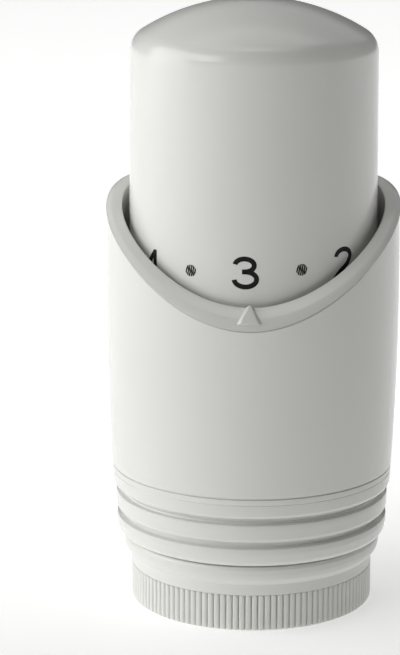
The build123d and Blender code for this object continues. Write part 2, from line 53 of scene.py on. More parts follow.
DOUBLES = 1e-7                    # points closer than this are one point, in metres
SEAM = 2e-6                       # the same at the seams of the thread, in metres
NEARLY_STRAIGHT = math.pi - 0.02  # corners flatter than this stay as they are
EDGE_SHARE = 0.48                 # most of an edge that one rounded corner may take up
LIGHT_REACH = (0.6 * MM, 0.6 * MM, 0.5 * MM)
LOG = logging.getLogger("valve_head")
Point = tuple[float, float]
Point3 = tuple[float, float, float]
Colour = tuple[float, float, float, float]


# ---------------------------------------------------------------- node helpers
def linear(hex_colour: str) -> Colour:
    """Turns an sRGB hex colour to linear RGBA.

    Args:
        hex_colour: six digits with a leading #.

    Returns:
        Linear red, green, blue and an alpha of 1.
    """
    parts = [int(hex_colour[i:i + 2], 16) / 255 for i in (1, 3, 5)]
    out = [c / 12.92 if c <= 0.04045 else ((c + 0.055) / 1.055) ** 2.4 for c in parts]
    return (out[0], out[1], out[2], 1.0)


def plug(tree: bpy.types.NodeTree, socket: bpy.types.NodeSocket, value: object) -> None:
    """Links another node's output to an input, or sets the input's own value.

    Args:
        tree: the node tree.
        socket: the input socket.
        value: an output socket, or a plain value.
    """
    if isinstance(value, bpy.types.NodeSocket):
        tree.links.new(value, socket)
    else:
        socket.default_value = value


def add_node(tree: bpy.types.NodeTree, kind: str, inputs: dict | None = None,
             **settings: object) -> bpy.types.Node:
    """Adds one node with its settings, values and links.

    Args:
        tree: the node tree that gets the node.
        kind: the node's type name.
        inputs: socket name or index to a value, or to another node's output socket.
        **settings: attributes of the node itself.

    Returns:
        The new node.
    """
    node = tree.nodes.new(kind)
    for name, value in settings.items():
        setattr(node, name, value)
    for name, value in (inputs or {}).items():
        plug(tree, node.inputs[name], value)
    return node


def mixed(tree: bpy.types.NodeTree, factor: bpy.types.NodeSocket, under: Colour | bpy.types.NodeSocket,
          over: Colour | bpy.types.NodeSocket) -> bpy.types.NodeSocket:
    """Mixes two colours.

    Args:
        tree: the node tree.
        factor: the share of the second colour.
        under: the first colour.
        over: the second colour.

    Returns:
        The mixed colour's socket.
    """
    node = add_node(tree, "ShaderNodeMix", {"Factor": factor}, data_type="RGBA")
    colour_inputs = [socket for socket in node.inputs if socket.type == "RGBA"]
    for socket, value in zip(colour_inputs, (under, over)):
        plug(tree, socket, value)
    return next(socket for socket in node.outputs if socket.type == "RGBA")


# ---------------------------------------------------------------- finishes
@dataclass(frozen=True)
class Finish:
    """A surface finish: what the material is, how it was made, and how it looks.

    Colours are sRGB hex. Bump sizes are in millimetres on the real piece.
    """

    name: str
    colour: str
    shade: str
    metallic: float = 0.0
    roughness: float = 0.4
    roughness_spread: float = 0.05
    ior: float = 1.5
    grain_mm: float = 0.6
    grain_height_mm: float = 0.01
    grain_stretch: tuple[float, float, float] = (1.0, 1.0, 1.0)
    blotch_mm: float = 12.0
    subsurface: float = 0.0
    specks: str = ""
    speck_mm: float = 1.6
    speck_share: float = 0.06

    def build(self) -> bpy.types.Material:
        """Builds the material once and returns it afterwards.

        Returns:
            The material named after this finish.
        """
        known = bpy.data.materials.get(self.name)
        if known:
            return known
        material = bpy.data.materials.new(self.name)
        material.use_nodes = True
        tree = material.node_tree
        tree.nodes.clear()
        place = add_node(tree, "ShaderNodeTexCoord")
        stretch = add_node(tree, "ShaderNodeMapping", {
            "Vector": place.outputs["Object"], "Scale": self.grain_stretch})
        blotch = add_node(tree, "ShaderNodeTexNoise", {
            "Vector": place.outputs["Object"], "Scale": 1 / (self.blotch_mm * MM),
            "Detail": 3.0, "Roughness": 0.5})
        colour = mixed(tree, blotch.outputs["Fac"], linear(self.colour), linear(self.shade))
        if self.specks:
            colour = self._speckled(tree, place.outputs["Object"], colour)
        grain = add_node(tree, "ShaderNodeTexNoise", {
            "Vector": stretch.outputs["Vector"], "Scale": 1 / (self.grain_mm * MM),
            "Detail": 4.0, "Roughness": 0.55})
        rough = add_node(tree, "ShaderNodeMapRange", {
            "Value": grain.outputs["Fac"], "From Min": 0.3, "From Max": 0.7,
            "To Min": self.roughness - self.roughness_spread,
            "To Max": self.roughness + self.roughness_spread})
        bump = add_node(tree, "ShaderNodeBump", {
            "Height": grain.outputs["Fac"], "Strength": 1.0, "Distance": self.grain_height_mm * MM})
        shader = add_node(tree, "ShaderNodeBsdfPrincipled", {
            "Base Color": colour, "Metallic": self.metallic, "Roughness": rough.outputs["Result"],
            "IOR": self.ior, "Normal": bump.outputs["Normal"], "Subsurface Weight": self.subsurface,
            "Subsurface Radius": LIGHT_REACH, "Subsurface Scale": 1.0})
        add_node(tree, "ShaderNodeOutputMaterial", {"Surface": shader.outputs["BSDF"]})
        return material

    def _speckled(self, tree: bpy.types.NodeTree, place: bpy.types.NodeSocket,
                  colour: bpy.types.NodeSocket) -> bpy.types.NodeSocket:
        """Scatters small dark moulding specks over a colour.

        Args:
            tree: the material's tree.
            place: object coordinates.
            colour: the colour under the specks.

        Returns:
            The speckled colour.
        """
        cells = add_node(tree, "ShaderNodeTexVoronoi", {
            "Vector": place, "Scale": 1 / (self.speck_mm * MM), "Randomness": 1.0}, feature="F1")
        dot = add_node(tree, "ShaderNodeMapRange", {
            "Value": cells.outputs["Distance"], "From Min": 0.03, "From Max": 0.075,
            "To Min": 1.0, "To Max": 0.0})
        share = add_node(tree, "ShaderNodeMath", {
            0: cells.outputs["Color"], 1: self.speck_share}, operation="LESS_THAN")
        mask = add_node(tree, "ShaderNodeMath", {
            0: dot.outputs["Result"], 1: share.outputs[0]}, operation="MULTIPLY")
        return mixed(tree, mask.outputs[0], colour, linear(self.specks))


# Injection-moulded ABS, polished tool: a bright white with a soft gloss and a few faint specks.
MOULDED_ABS = Finish("gloss_white_moulded_abs", "#E6E6E2", "#E2E2DE", roughness=0.2, roughness_spread=0.03,
                     ior=1.53, grain_mm=1.4, grain_height_mm=0.0022, blotch_mm=22, subsurface=0.04,
                     specks="#A9A8A2", speck_mm=3.4, speck_share=0.05)
# The same ABS from a slightly duller neck and nut tool.
NUT_ABS = Finish("satin_white_moulded_abs", "#E6E6E2", "#E2E2DE", roughness=0.33, roughness_spread=0.04,
                 ior=1.53, grain_mm=0.9, grain_height_mm=0.003, blotch_mm=14, subsurface=0.04,
                 specks="#A9A8A2", speck_mm=3.0, speck_share=0.04)
# Natural acetal, moulded: milky, slippery and evenly satin.
NATURAL_ACETAL = Finish("natural_moulded_acetal", "#DEDDD4", "#D3D2C8", roughness=0.42, ior=1.48,
                        grain_mm=0.5, grain_height_mm=0.004, subsurface=0.12)
# Glass-filled nylon, moulded: near black, with the mottled fibre skin.
GLASS_NYLON = Finish("black_glass_filled_nylon", "#24262A", "#33363A", roughness=0.5, roughness_spread=0.1,
                     ior=1.53, grain_mm=0.25, grain_height_mm=0.012, grain_stretch=(1, 1, 0.4), blotch_mm=4)
# Spring steel, drawn or stamped and tempered: fine lengthwise drawing marks, a faint straw tint.
SPRING_STEEL = Finish("tempered_spring_steel", "#A9A6A0", "#8F8C86", metallic=1.0, roughness=0.3,
                      roughness_spread=0.08, grain_mm=0.15, grain_height_mm=0.003,
                      grain_stretch=(1, 1, 6), blotch_mm=3)
# Aluminium, deep drawn: bright, with fine upright drawing lines.
DRAWN_ALUMINIUM = Finish("deep_drawn_aluminium", "#CBCCCE", "#B9BBBE", metallic=1.0, roughness=0.28,
                         roughness_spread=0.07, grain_mm=0.2, grain_height_mm=0.003,
                         grain_stretch=(1, 1, 0.08), blotch_mm=6)
# Brass, turned: warm yellow with fine rings round the axis.
TURNED_BRASS = Finish("turned_brass", "#C9A55A", "#B48F46", metallic=1.0, roughness=0.26,
                      roughness_spread=0.06, grain_mm=0.2, grain_height_mm=0.003,
                      grain_stretch=(0.1, 0.1, 3), blotch_mm=5)
# Tombac, hydroformed: a redder brass, dull from annealing.
FORMED_TOMBAC = Finish("hydroformed_tombac", "#B97F4C", "#9E6A3E", metallic=1.0, roughness=0.36,
                       roughness_spread=0.08, grain_mm=0.3, grain_height_mm=0.003, blotch_mm=3)
# Copper capillary tube, drawn and pinched.
DRAWN_COPPER = Finish("drawn_copper_tube", "#C27B52", "#A4623E", metallic=1.0, roughness=0.3,
                      grain_mm=0.15, grain_height_mm=0.003, blotch_mm=2)
# Nitrile rubber, moulded: matt black with a little bloom.
NITRILE = Finish("moulded_nitrile_rubber", "#17181A", "#242527", roughness=0.68, roughness_spread=0.08,
                 ior=1.52, grain_mm=0.3, grain_height_mm=0.006, blotch_mm=5)
# Pad-printing ink, cured: a thin black film, slightly uneven.
PRINT_INK = Finish("black_pad_print_ink", "#050504", "#0D0B08", roughness=0.5, roughness_spread=0.06,
                   ior=1.35, grain_mm=0.12, grain_height_mm=0.001, blotch_mm=0.5)


# ---------------------------------------------------------------- mesh helpers
def rounded(points: list[Point3], steps: int) -> list[Point]:
    """Rounds the corners of a profile.

    Args:
        points: (radius, z, corner radius) in millimetres.
        steps: segments in each rounded corner.

    Returns:
        Plain (radius, z) points.
    """
    out: list[Point] = []
    count = len(points)
    for i, (x, y, r) in enumerate(points):
        here = Vector((x, y))
        before = Vector(points[(i - 1) % count][:2]) - here
        after = Vector(points[(i + 1) % count][:2]) - here
        shorter = min(before.length, after.length)
        if r <= 0 or shorter < TINY or before.angle(after) > NEARLY_STRAIGHT:
            out.append((x, y))
            continue
        reach = min(r / math.tan(before.angle(after) / 2), shorter * EDGE_SHARE)
        start = here + before.normalized() * reach
        end = here + after.normalized() * reach
        for k in range(steps + 1):
            t = k / steps
            bent = start * (1 - t) ** 2 + here * 2 * t * (1 - t) + end * t * t
            out.append((bent.x, bent.y))
    return out


def finish_mesh(piece: bpy.types.Object, finish: Finish, sharp_deg: float = 38.0) -> None:
    """Merges doubles, turns faces outward, smooths, and gives the material.

    Args:
        piece: the mesh object.
        finish: its finish.
        sharp_deg: edges sharper than this stay crisp.
    """
    work = bmesh.new()
    work.from_mesh(piece.data)
    bmesh.ops.remove_doubles(work, verts=work.verts, dist=DOUBLES)
    bmesh.ops.recalc_face_normals(work, faces=work.faces)
    limit = math.radians(sharp_deg)
    for edge in work.edges:
        edge.smooth = len(edge.link_faces) == 2 and edge.calc_face_angle(0) < limit
    for face in work.faces:
        face.smooth = True
    work.to_mesh(piece.data)
    work.free()
    piece.data.materials.clear()
    piece.data.materials.append(finish.build())


def new_piece(name: str, verts: list[Point3], faces: list[tuple[int, ...]]) -> bpy.types.Object:
    """Makes a mesh object from millimetre points.

    Args:
        name: the piece's name.
        verts: points in millimetres.
        faces: point numbers of each face.

    Returns:
        The object, at the origin, linked to the scene.
    """
    mesh = bpy.data.meshes.new(name)
    mesh.from_pydata([(x * MM, y * MM, z * MM) for x, y, z in verts], [], faces)
    mesh.update()
    piece = bpy.data.objects.new(name, mesh)
    bpy.context.scene.collection.objects.link(piece)
    return piece


def swung(profile: list[Point], angle: float, rise: float = 0.0) -> list[Point3]:
    """Places a (radius, z) profile at an angle about Z.

    Args:
        profile: (radius, z) points.
        angle: radians about Z.
        rise: added to every height.

    Returns:
        The points in space.
    """
    return [(r * math.cos(angle), r * math.sin(angle), z + rise) for r, z in profile]


def strip(start: int, rows: int) -> list[tuple[int, ...]]:
    """Faces of a strip whose points come in pairs, one pair to a row.

    Args:
        start: number of the strip's first point.
        rows: how many pairs there are.

    Returns:
        The faces.
    """
    return [(a, a + 1, a + 3, a + 2) for a in range(start, start + 2 * (rows - 1), 2)]


def turned(name: str, profile: list[Point], segments: int) -> bpy.types.Object:
    """Turns a closed profile about Z.

    Args:
        name: the piece's name.
        profile: (radius, z) points; a radius of 0 makes a pole.
        segments: steps round the axis.

    Returns:
        The turned object.
    """
    return lofted(name, [profile] * segments)


def lofted(name: str, rings: list[list[Point]]) -> bpy.types.Object:
    """Joins one closed profile per angle into a shell.

    Args:
        name: the piece's name.
        rings: for each angle, the same number of (radius, z) points.

    Returns:
        The lofted object.
    """
    verts: list[Point3] = []
    faces: list[tuple[int, ...]] = []
    turn, size = len(rings), len(rings[0])
    for k, ring in enumerate(rings):
        verts += swung(ring, 2 * math.pi * k / turn)
    for k in range(turn):
        j = (k + 1) % turn
        for i in range(size):
            n = (i + 1) % size
            if rings[k][i][0] < TINY and rings[k][n][0] < TINY:
                continue
            faces.append((k * size + i, j * size + i, j * size + n, k * size + n))
    return new_piece(name, verts, faces)


def blended(table: tuple[Point, ...], z: float) -> float:
    """Reads a smooth radius from the quadratic through three (radius, z) points.

    Args:
        table: three points, low to high.
        z: the height to read.

    Returns:
        The radius there.
    """
    total = 0.0
    for i, (r, zi) in enumerate(table):
        part = r
        for j, (_, zj) in enumerate(table):
            if i != j:
                part *= (z - zj) / (zi - zj)
        total += part
    return total


def arc(centre: Point, rx: float, ry: float, start_deg: float, end_deg: float) -> list[Point]:
    """Points along part of an ellipse.

    Args:
        centre: its middle.
        rx: half width.
        ry: half height.
        start_deg: first angle.
        end_deg: last angle; smaller than the first runs clockwise.

    Returns:
        The points in order.
    """
    steps = 40
    angles = [math.radians(start_deg + (end_deg - start_deg) * k / steps) for k in range(steps + 1)]
    return [(centre[0] + rx * math.cos(a), centre[1] + ry * math.sin(a)) for a in angles]


def evenly(line: list[Point], gap: float) -> list[Point]:
    """Spaces points evenly along a line.

    Args:
        line: the points of the line.
        gap: the largest distance between new points.

    Returns:
        The evenly spaced points.
    """
    out: list[Point] = [line[0]]
    for a, b in zip(line, line[1:]):
        length = math.dist(a, b)
        parts = max(1, math.ceil(length / gap))
        if length > TINY:
            out += [(a[0] + (b[0] - a[0]) * k / parts, a[1] + (b[1] - a[1]) * k / parts)
                    for k in range(1, parts + 1)]
    return out


class Repeat(Enum):
    """What happens to neighbouring copies of a repeated cell: the weld distance in metres."""

    SEPARATE = 0.0
    WELDED = 1e-6


def repeat_round(piece: bpy.types.Object, finish: Finish, count: int, step_deg: float,
                 rise_mm: float, mode: Repeat) -> None:
    """Repeats a cell round the Z axis, or along a helix, with Geometry Nodes.

    Args:
        piece: the object whose mesh is the cell; it becomes the whole ring.
        finish: the finish the copies get.
        count: number of copies.
        step_deg: turn from one copy to the next.
        rise_mm: climb from one copy to the next.
        mode: whether the copies are welded at their seams.
    """
    tree = bpy.data.node_groups.new(piece.name + "_repeat", "GeometryNodeTree")
    face = tree.interface
    face.new_socket("Cell", in_out="INPUT", socket_type="NodeSocketGeometry")
    for label, kind in (("Copies", "NodeSocketInt"), ("Step", "NodeSocketFloat"),
                        ("Rise", "NodeSocketFloat"), ("Weld", "NodeSocketFloat"),
                        ("Finish", "NodeSocketMaterial")):
        face.new_socket(label, in_out="INPUT", socket_type=kind)
    face.new_socket("Ring", in_out="OUTPUT", socket_type="NodeSocketGeometry")
    given = add_node(tree, "NodeGroupInput").outputs
    index = add_node(tree, "GeometryNodeInputIndex").outputs["Index"]
    climb = add_node(tree, "ShaderNodeMath", {0: index, 1: given["Rise"]}, operation="MULTIPLY")
    spin = add_node(tree, "ShaderNodeMath", {0: index, 1: given["Step"]}, operation="MULTIPLY")
    lift = add_node(tree, "ShaderNodeCombineXYZ", {"Z": climb.outputs[0]})
    turn = add_node(tree, "ShaderNodeCombineXYZ", {"Z": spin.outputs[0]})
    places = add_node(tree, "GeometryNodePoints", {"Count": given["Copies"], "Position": lift.outputs[0]})
    copies = add_node(tree, "GeometryNodeInstanceOnPoints", {
        "Points": places.outputs[0], "Instance": given["Cell"], "Rotation": turn.outputs[0]})
    solid = add_node(tree, "GeometryNodeRealizeInstances", {"Geometry": copies.outputs[0]})
    welded = add_node(tree, "GeometryNodeMergeByDistance", {
        "Geometry": solid.outputs[0], "Distance": given["Weld"]})
    painted = add_node(tree, "GeometryNodeSetMaterial", {
        "Geometry": welded.outputs[0], "Material": given["Finish"]})
    add_node(tree, "NodeGroupOutput", {"Ring": painted.outputs[0]})
    modifier = piece.modifiers.new("repeat", "NODES")
    modifier.node_group = tree
    values = {"Copies": count, "Step": math.radians(step_deg), "Rise": rise_mm * MM, "Weld": mode.value,
              "Finish": finish.build()}
    for item in face.items_tree:
        if item.item_type == "SOCKET" and item.in_out == "INPUT" and item.name in values:
            modifier[item.identifier] = values[item.name]
    bake(piece)


def bake(piece: bpy.types.Object) -> None:
    """Turns an object with modifiers into its plain result.

    Args:
        piece: the object; its modifiers are removed.
    """
    bpy.context.view_layer.update()
    seen = piece.evaluated_get(bpy.context.evaluated_depsgraph_get())
    mesh = bpy.data.meshes.new_from_object(seen)
    mesh.name = piece.name
    piece.modifiers.clear()
    piece.data = mesh


# ---------------------------------------------------------------- the rim
@dataclass(frozen=True)
class RimCurve:
    """The curved cut of the sleeve: a cylinder lying along X."""

    centre_y: float = 15.2
    centre_z: float = 14.5
    radius: float = 50.5

    def height(self, radius: float, angle: float, inset: float = 0.0) -> float:
        """Height of the cut at a point of the sleeve.

        Args:
            radius: distance from the Z axis.
            angle: angle about Z in radians.
            inset: how far below the cut, square to it.

        Returns:
            The height z.
        """
        reach = radius * math.sin(angle) - self.centre_y
        return self.centre_z + math.sqrt((self.radius - inset) ** 2 - reach ** 2)


@dataclass
class OuterSleeve:
    """Fixed shell: ringed neck, barrel wall, curved rim and pointer."""

    rim: RimCurve = field(default_factory=RimCurve)
    segments: int = 288
    bore: float = 20.1
    band: float = 22.55
    barrel: tuple[Point, ...] = ((21.7, 22.0), (22.35, 38.0), (22.4, 60.0))
    barrel_from_z: float = 22.3
    barrel_steps: int = 18
    bore_to_z: float = 24.4
    bore_steps: int = 8
    seat: tuple[Point, ...] = ((20.0, 23.8), (17.4, 19.1), (17.3, 18.8), (17.3, 13.2), (18.15, 13.2),
                               (18.15, 10.8))
    chamfer_width: float = 0.85
    chamfer_drop: float = 0.42
    chamfer_bow: float = 0.06
    chamfer_steps: int = 6
    line_at: float = 0.42
    line_width: float = 0.15
    line_depth: float = 0.22
    line_round: float = 0.06
    pointer_half: float = 1.95
    pointer_bevel: float = 0.16

    def neck(self) -> list[Point]:
        """Outer profile of the ringed neck, from the bottom up."""
        corners = [
            (18.3, 10.65, 0), (19.6, 10.65, 0.25), (20.35, 10.9, 0.3), (20.73, 11.5, 0.5),
            (20.97, 12.7, 0.3), (20.95, 13.6, 0.18), (20.0, 13.72, 0.1), (20.0, 14.6, 0.1),
            (20.85, 14.68, 0.12), (21.02, 15.15, 0.25), (21.1, 16.65, 0.2), (21.08, 17.32, 0.14),
            (20.35, 17.38, 0.05), (20.3, 17.68, 0.06), (20.1, 17.72, 0.06), (20.1, 18.4, 0.1),
            (21.32, 18.5, 0.12), (21.5, 18.95, 0.25), (21.58, 20.5, 0.1), (21.51, 20.58, 0.04),
            (21.63, 20.72, 0.1), (21.63, 21.42, 0.06), (21.38, 21.48, 0.02), (21.38, 21.6, 0.02),
            (21.68, 21.68, 0.08), (21.71, 22.1, 0)]
        return rounded(corners, 4)

    def edge(self) -> list[Point]:
        """The rim from the thin line over the chamfer to the bore.

        Returns:
            (radius, distance below the cut) points.
        """
        band, drop = self.band, self.chamfer_drop
        points = [(band - self.line_round, self.line_at - 0.02), (band, self.line_at - 0.08),
                  (band, drop + 0.05)]
        for k in range(self.chamfer_steps + 1):
            t = k / self.chamfer_steps
            points.append((band - self.chamfer_width * t,
                           drop * (1 - t) - self.chamfer_bow * math.sin(math.pi * t)))
        return points + [(band - self.chamfer_width - 0.2, 0.0), (21.2, 0.0), (20.7, 0.0), (20.38, 0.01),
                         (20.22, 0.06), (20.13, 0.16), (self.bore, 0.32)]

    def section(self, angle: float) -> list[Point]:
        """Closed profile of the wall at one angle."""
        cut = self.rim.height
        line_low = self.line_at + self.line_width
        outline = self.neck()
        low, top = self.barrel_from_z, cut(self.band, angle, line_low)
        for k in range(1, self.barrel_steps + 1):
            z = low + (top - low) * k / self.barrel_steps
            outline.append((blended(self.barrel, z), z))
        groove_r = outline[-1][0] - self.line_depth
        outline += [(groove_r, cut(groove_r, angle, inset)) for inset in (line_low, self.line_at)]
        outline += [(r, cut(r, angle, inset)) for r, inset in self.edge()]
        top = outline[-1][1]
        for k in range(1, self.bore_steps + 1):
            outline.append((self.bore, top + (self.bore_to_z - top) * k / self.bore_steps))
        return outline + list(self.seat)

    def pointer_mesh(self) -> bpy.types.Object:
        """Raised wedge on the rim, with a front facet, two flanks and a tip over the bore."""
        half = self.pointer_half
        tip, root = (0.0, -20.6, 51.05), (0.0, -21.0, 47.6)
        front = [(-0.66 * half, -22.55, 48.5), (0.7 * half, -22.55, 48.5)]
        foot = [(-half, -22.1, 48.3), (half, -22.1, 48.3)]
        back = [(-0.6, -20.2, 50.4), (0.6, -20.2, 50.4)]
        verts = [tip, *front, *foot, *back, root]
        faces = [(0, 1, 2), (0, 5, 3), (0, 3, 1), (0, 2, 4), (0, 4, 6), (1, 3, 4), (1, 4, 2), (0, 6, 5),
                 (5, 7, 3), (4, 7, 6), (3, 7, 4), (6, 7, 5)]
        piece = new_piece("sleeve_pointer", verts, faces)
        bevel = piece.modifiers.new("soft_edges", "BEVEL")
        bevel.width = self.pointer_bevel * MM
        bevel.segments = 3
        bevel.limit_method = "ANGLE"
        bake(piece)
        return piece

    def build(self) -> list[bpy.types.Object]:
        """Builds the sleeve and its pointer, on the base body."""
        rings = [self.section(2 * math.pi * k / self.segments) for k in range(self.segments)]
        shell = lofted("sleeve_shell", rings)
        finish_mesh(shell, MOULDED_ABS, sharp_deg=30)
        tip = self.pointer_mesh()
        finish_mesh(tip, MOULDED_ABS, sharp_deg=60)
        for piece in (shell, tip):
            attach(piece, "base")
        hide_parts("outer_sleeve")
        return [shell, tip]


@dataclass
class HandCap:
    """Domed turning cap with a slight draft."""

    radius: float = 18.85
    foot_radius: float = 19.2
    foot_z: float = 25.0
    apex_z: float = 93.8
    dome_radius: float = 32.3
    shoulder: float = 3.6
    wall: float = 1.8
    bore: float = 17.2
    bore_from_z: float = 25.7
    mouth: float = 17.75
    seat_z: float = 54.0
    shoulder_steps: int = 12
    side_steps: int = 16
    segments: int = 256

    def corner(self) -> Point:
        """Centre of the shoulder's rounding, as (radius, z)."""
        corner_r = self.radius - self.shoulder
        reach = math.sqrt((self.dome_radius - self.shoulder) ** 2 - corner_r ** 2)
        return corner_r, self.apex_z - self.dome_radius + reach

    def dome(self, inset: float, steps: int) -> list[Point]:
        """Profile from the side over the shoulder to the apex.

        Args:
            inset: distance inside the outer skin.
            steps: segments on the dome.

        Returns:
            (radius, z) points, ending on the axis.
        """
        sphere = self.dome_radius - inset
        fillet = self.shoulder - inset
        corner_r, corner_z = self.corner()
        centre = self.apex_z - self.dome_radius
        lean = math.atan2(corner_r, corner_z - centre)
        points: list[Point] = []
        for k in range(self.shoulder_steps + 1):
            a = math.pi / 2 + (lean - math.pi / 2) * k / self.shoulder_steps
            points.append((corner_r + fillet * math.sin(a), corner_z + fillet * math.cos(a)))
        for k in range(1, steps + 1):
            a = lean * (1 - k / steps)
            points.append((sphere * math.sin(a), centre + sphere * math.cos(a)))
        points[-1] = (0.0, centre + sphere)
        return points

    def radius_at(self, z: float) -> float:
        """Outer radius of the drafted side at a height."""
        share = (z - self.foot_z) / (self.corner()[1] - self.foot_z)
        return self.foot_radius + (self.radius - self.foot_radius) * share

    def build(self) -> list[bpy.types.Object]:
        """Builds the cap as one closed shell, on the cap body."""
        outer = self.dome(0, 22)
        inner = self.dome(self.wall, 16)[::-1]
        top = outer[0][1]
        profile: list[Point] = [
            (self.mouth, self.foot_z), (self.foot_radius - 0.3, self.foot_z),
            (self.foot_radius - 0.08, self.foot_z + 0.1), (self.foot_radius, self.foot_z + 0.35)]
        low = profile[-1][1]
        for k in range(1, self.side_steps):
            z = low + (top - low) * k / self.side_steps
            profile.append((self.radius_at(z), z))
        profile += outer + inner
        inner_r = self.radius - self.wall
        profile += [(inner_r, self.seat_z), (self.bore, self.seat_z), (self.bore, self.bore_from_z)]
        cap = turned("hand_cap_shell", profile, self.segments)
        finish_mesh(cap, MOULDED_ABS)
        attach(cap, "cap")
        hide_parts("hand_cap")
        return [cap]


# ---------------------------------------------------------------- the printed scale
@dataclass
class Scale:
    """Numbers, dots and a frost star printed on the cap along the lift helix."""

    cap: HandCap = field(default_factory=HandCap)
    pitch_deg: float = 51.0
    three_at_deg: float = 267.9
    middle_z: float = 55.4
    lead: float = 3.0
    stroke: float = 0.74
    stroke_gap: float = 0.12
    lift: float = 0.012
    film: float = 0.02
    dot_radius: float = 0.87
    frost_value: float = 0.0
    zero_value: float = -1.0
    nudge: dict[int, float] = field(default_factory=lambda: {2: -0.95, 4: 0.6})
    dot_bars: int = 6
    dot_copies: int = 4
    dot_value: float = 4.5
    bar_share: float = 0.74
    bar_margin: float = 0.14
    bar_rows: int = 8
    bar_least: float = 0.02
    wave: float = 0.05
    wave_rate: float = 5.2
    wave_offset: float = 1.3
    star_rows: int = 5
    star_arm: float = 1.9
    star_hub: float = 0.16
    star_stroke: float = 0.34
    barb_root: float = 1.15
    barb: float = 0.62
    barb_lean: float = 0.9

    def place(self, value: float) -> tuple[float, float]:
        """Angle about Z in radians and height of a scale value."""
        offset = value - 3
        angle = math.radians(self.three_at_deg - self.pitch_deg * offset)
        return angle, self.middle_z - self.lead * self.pitch_deg * offset / 360

    def wrap(self, x: float, y: float, value: float) -> Point3:
        """Wraps a flat point round the cap, a little off its skin.

        Args:
            x: millimetres to the right as seen from outside.
            y: millimetres up.
            value: the scale value the point belongs to.

        Returns:
            The point in millimetres.
        """
        angle, z = self.place(value)
        skin = self.cap.radius_at(z + y)
        angle += x / skin
        return ((skin + self.lift) * math.cos(angle), (skin + self.lift) * math.sin(angle), z + y)

    def strokes(self, digit: int) -> list[list[Point]]:
        """Centre lines of a plain grotesque figure, in millimetres about its middle."""
        if digit == 0:
            return [arc((0, 0), 1.5, 2.08, 90, -270)]
        if digit == 1:
            flag = [(-1.0, 1.2), (-0.6, 1.24), (-0.2, 1.4), (0.1, 1.68), (0.3, 2.3)]
            return [[(0.42, -2.45), (0.42, 2.45)], flag]
        if digit == 2:
            foot = [(0.95, -0.1), (0.3, -0.62), (-0.5, -1.12), (-1.15, -1.62), (-1.48, -2.08)]
            return [arc((0, 1.0), 1.5, 1.08, 176, -38) + foot, [(-1.86, -2.08), (1.88, -2.08)]]
        if digit == 3:
            return [arc((-0.12, 1.1), 1.42, 0.97, 172, -90) + [(-0.5, 0.13)],
                    [(-0.5, 0.13)] + arc((0, -1.0), 1.66, 1.13, 92, -176)]
        if digit == 4:
            return [[(0.8, -2.45), (0.8, 2.4)], [(0.72, 2.1), (-1.62, -1.0)], [(-1.95, -1.2), (1.8, -1.2)]]
        return [[(-1.25, 2.08), (1.6, 2.08)], [(-1.16, 2.3), (-1.5, -0.1)],
                arc((-0.05, -0.72), 1.68, 1.38, 148, -176)]

    def ribbon(self, verts: list[Point3], faces: list[tuple[int, ...]], path: list[Point],
               width: float, value: float, shift: float = 0.0) -> None:
        """Adds one flat stroke of even width, wrapped on the cap.

        Args:
            verts: the print's points so far.
            faces: the print's faces so far.
            path: the stroke's centre line.
            width: the stroke's width.
            value: the scale value it belongs to.
            shift: millimetres to the right.
        """
        faces += strip(len(verts), len(path))
        for k, (x, y) in enumerate(path):
            ahead = Vector(path[min(k + 1, len(path) - 1)])
            behind = Vector(path[max(k - 1, 0)])
            run = (ahead - behind).normalized()
            for side in (-0.5, 0.5):
                out = Vector((-run.y, run.x)) * width * side
                verts.append(self.wrap(x + out.x + shift, y + out.y, value))

    def glyph(self, digit: int) -> bpy.types.Object:
        """Makes one printed figure of even strokes and wraps it on the cap.

        Args:
            digit: 0 to 5.

        Returns:
            The flat figure, lying on the cap.
        """
        verts: list[Point3] = []
        faces: list[tuple[int, ...]] = []
        value = float(digit) if digit else self.zero_value
        for line in self.strokes(digit):
            self.ribbon(verts, faces, evenly(line, self.stroke_gap), self.stroke, value,
                        self.nudge.get(digit, 0.0))
        return new_piece(f"scale_figure_{digit}", verts, faces)

    def thicken(self, piece: bpy.types.Object) -> None:
        """Gives the flat print the thickness of an ink film, and closes it."""
        solid = piece.modifiers.new("film", "SOLIDIFY")
        solid.thickness = self.film * MM
        solid.offset = 1.0
        bake(piece)

    def dot_cell(self) -> bpy.types.Object:
        """Flat wavy bars clipped to a disc, one dot of the scale."""
        verts: list[Point3] = []
        faces: list[tuple[int, ...]] = []
        pitch = 2 * self.dot_radius / self.dot_bars
        for bar in range(self.dot_bars):
            x0 = -self.dot_radius + pitch * (bar + self.bar_margin)
            x1 = x0 + pitch * self.bar_share
            faces += strip(len(verts), self.bar_rows + 1)
            for k in range(self.bar_rows + 1):
                for x in (x0, x1):
                    half = math.sqrt(max(self.dot_radius ** 2 - x * x, self.bar_least ** 2))
                    y = half * (2 * k / self.bar_rows - 1)
                    sway = self.wave * math.sin(self.wave_rate * y + self.wave_offset * bar)
                    verts.append(self.wrap(x + sway, y, self.dot_value))
        return new_piece("scale_dots", verts, faces)

